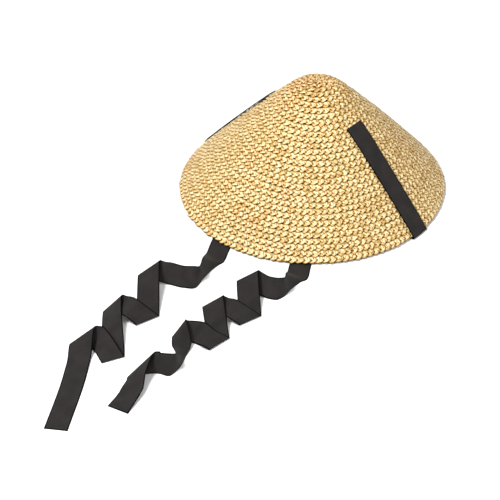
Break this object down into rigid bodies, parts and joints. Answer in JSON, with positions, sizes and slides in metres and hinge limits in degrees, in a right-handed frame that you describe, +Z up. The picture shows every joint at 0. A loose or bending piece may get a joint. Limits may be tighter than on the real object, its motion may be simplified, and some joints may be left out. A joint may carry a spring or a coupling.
{
  "type": "conical straw hat with ribbon ties",
  "caption": "Conical hat of sewn straw braid, hollow below, with a rounded tip and long black ribbon ties that come out of slits near the tip and lie in loose folds.",
  "frame": {"origin": "on the surface that the hat rests on, below the middle of the whole part", "axes": "+Z up, the slits for the ribbons on the X axis through the hat's middle, the ribbon tails running out towards -Y"},
  "size_m": [0.4026, 0.828, 0.1825],
  "materials": {
    "straw": "matte",
    "ribbon": "matte"
  },
  "bodies": {
    "root": {"straw_cone": "straw", "ribbon_left": "ribbon", "ribbon_right": "ribbon"}
  },
  "joints": []
}
